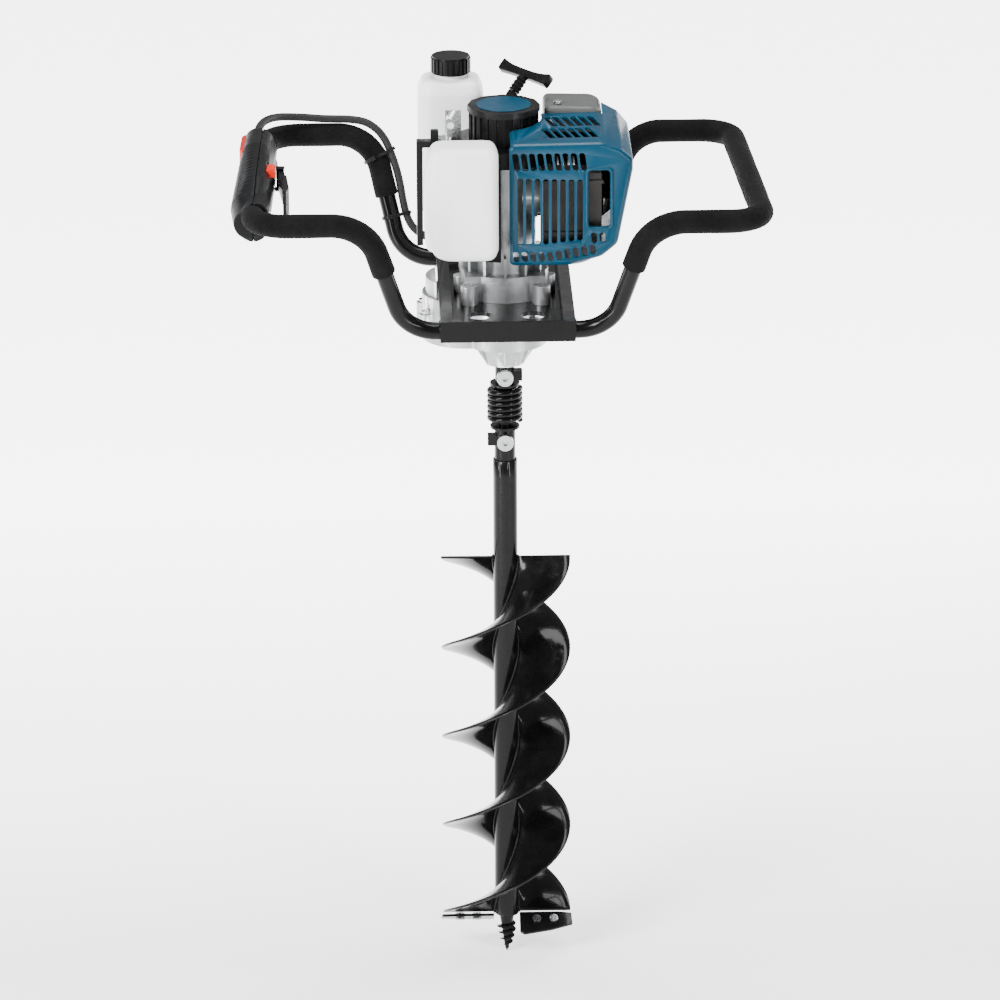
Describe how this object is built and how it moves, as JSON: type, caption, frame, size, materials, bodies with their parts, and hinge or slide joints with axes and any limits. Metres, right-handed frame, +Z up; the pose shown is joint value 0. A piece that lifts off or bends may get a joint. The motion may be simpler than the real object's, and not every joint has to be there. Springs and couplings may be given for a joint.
{
  "type": "engine earth and ice auger",
  "caption": "Engine-driven auger with looped tube handles, foam grips, reduction gearbox, spring coupling and a double-flight bit for drilling holes in ice or soil.",
  "frame": {"origin": "tip of the pilot point, on the auger's axis", "axes": "+Z up along the auger's axis, +X to the right of the handle frame, +Y away from the tank side that faces the viewer"},
  "size_m": [0.6067, 0.389, 1.071],
  "materials": {
    "gloss_black_paint": "glossy black powder coat",
    "auger_paint": "glossy black paint",
    "foam": "matte charcoal foam",
    "black_plastic": "moulded, fine grain",
    "grip_plastic": "moulded, satin",
    "red_plastic": "moulded red",
    "orange_plastic": "moulded orange-red",
    "cast_alloy": "die cast, satin",
    "machined_steel": "machined",
    "gear_steel": "hobbed steel",
    "zinc_steel": "zinc plated",
    "blue_plastic": "moulded teal blue",
    "grey_plastic": "moulded grey",
    "tank_plastic": "blow-moulded translucent white",
    "sheet_steel": "bent sheet",
    "seal_rubber": "moulded rubber",
    "friction": "sintered lining",
    "brass": "plated",
    "rope": "braided",
    "primer_rubber": "clear amber rubber",
    "ceramic": "glazed insulator and plated shell"
  },
  "bodies": {
    "head": {"left_frame_tube": "gloss_black_paint", "right_frame_tube": "gloss_black_paint", "engine_plate": "gloss_black_paint", "left_foams": "foam", "right_foam": "foam", "housing_outer": "grip_plastic", "housing_inner": "grip_plastic", "throttle_cable": "seal_rubber", "cable_ties": "black_plastic", "upper_gear_case": "cast_alloy", "lower_gear_case": "cast_alloy", "bearings": "machined_steel", "clutch_housing": "cast_alloy", "clutch_shoes": "friction", "crankcase": "cast_alloy", "crankshaft": "machined_steel", "connecting_rod": "machined_steel", "piston": "cast_alloy", "cylinder_block": "cast_alloy", "spark_plug": "ceramic", "plug_boot": "seal_rubber", "muffler": "sheet_steel", "carburettor": "cast_alloy", "air_filter_box": "black_plastic", "flywheel": "cast_alloy", "fan_shroud": "black_plastic", "engine_cover": "blue_plastic", "top_cover": "grey_plastic", "screws": "zinc_steel", "starter_housing": "black_plastic", "starter_badge": "blue_plastic", "rewind_spring": "machined_steel", "starter_rope": "rope", "fuel_tank": "tank_plastic", "tank_strap": "black_plastic", "tank_bracket": "sheet_steel"},
    "output": {"output_shaft": "machined_steel", "output_gear": "gear_steel", "upper_socket": "gloss_black_paint", "upper_bolt": "zinc_steel", "damper_spring": "gloss_black_paint"},
    "auger": {"lower_socket": "gloss_black_paint", "auger_bolts": "zinc_steel", "auger_tube": "auger_paint", "auger_flights": "auger_paint", "cutting_blades": "auger_paint", "pilot_point": "auger_paint"},
    "counter": {"counter_shaft": "gear_steel", "counter_gear": "gear_steel"},
    "drum": {"clutch_drum": "machined_steel"},
    "trigger": {"throttle_trigger": "grip_plastic"},
    "lockout": {"lockout_lever": "red_plastic"},
    "switch": {"stop_switch": "orange_plastic"},
    "carb_arm": {"throttle_arm": "brass"},
    "choke": {"choke_lever": "red_plastic"},
    "primer": {"primer_bulb": "primer_rubber"},
    "reel": {"starter_reel": "black_plastic"},
    "handle": {"starter_handle": "black_plastic"},
    "seal": {"cap_seal": "seal_rubber"},
    "cap": {"fuel_cap": "black_plastic"}
  },
  "joints": [
    {"name": "auger_spin", "type": "hinge", "parent": "head", "child": "output", "pos_m": [0, 0, 0.75], "axis": [0, 0, 1], "continuous": true},
    {"name": "coupling_flex", "type": "hinge", "parent": "output", "child": "auger", "pos_m": [0, 0, 0.68], "axis": [1, 0, 0], "range_deg": [-4, 4], "stiffness_Nm_per_rad": 60},
    {"name": "counter_spin", "type": "hinge", "parent": "head", "child": "counter", "pos_m": [-0.04372, 0.01856, 0.79], "axis": [0, 0, 1], "continuous": true},
    {"name": "drum_spin", "type": "hinge", "parent": "head", "child": "drum", "pos_m": [0, 0, 0.81], "axis": [0, 0, 1], "continuous": true},
    {"name": "trigger_squeeze", "type": "hinge", "parent": "head", "child": "trigger", "pos_m": [-0.25373, 0.00485, 0.951], "axis": [0, 0, -1], "range_deg": [0, 6], "stiffness_Nm_per_rad": 0.6, "springref_deg": -8.59},
    {"name": "lockout_press", "type": "hinge", "parent": "head", "child": "lockout", "pos_m": [-0.28721, 0.0766, 0.951], "axis": [0, 0, 1], "range_deg": [0, 4], "stiffness_Nm_per_rad": 0.4, "springref_deg": -11.46},
    {"name": "switch_slide", "type": "slide", "parent": "head", "child": "switch", "axis": [0.0497, 0.9988, 0], "range_m": [0, 0.007]},
    {"name": "throttle_butterfly", "type": "hinge", "parent": "head", "child": "carb_arm", "pos_m": [0.046, 0.0632, 0.947], "axis": [0, 0, 1], "range_deg": [0, 75]},
    {"name": "choke_turn", "type": "hinge", "parent": "head", "child": "choke", "pos_m": [0.08, 0.1052, 0.97], "axis": [0, 1, 0], "range_deg": [0, 60]},
    {"name": "primer_press", "type": "slide", "parent": "head", "child": "primer", "axis": [1, 0, 0], "range_m": [0, 0.003], "stiffness_N_per_m": 600, "springref_m": -0.001},
    {"name": "reel_turn", "type": "hinge", "parent": "head", "child": "reel", "pos_m": [0, 0, 1.01], "axis": [0, 0, -1], "range_deg": [0, 1440], "stiffness_Nm_per_rad": 0.004, "springref_deg": -114.59},
    {"name": "handle_pull", "type": "slide", "parent": "head", "child": "handle", "axis": [0.5501, 0.4701, 0.6902], "range_m": [0, 0.65]},
    {"name": "cap_lift", "type": "slide", "parent": "head", "child": "seal", "axis": [0, 0, 1], "range_m": [0, 0.0085]},
    {"name": "cap_turn", "type": "hinge", "parent": "seal", "child": "cap", "pos_m": [-0.058, 0.088, 1.06], "axis": [0, 0, 1], "range_deg": [0, 720]}
  ],
  "couplings": [
    {"joint": "counter_spin", "follows": "auger_spin", "ratio": -5.3333},
    {"joint": "drum_spin", "follows": "auger_spin", "ratio": 28.444},
    {"joint": "throttle_butterfly", "follows": "trigger_squeeze", "ratio": 12},
    {"joint": "reel_turn", "follows": "handle_pull", "rad_per_m": 38.462}
  ]
}
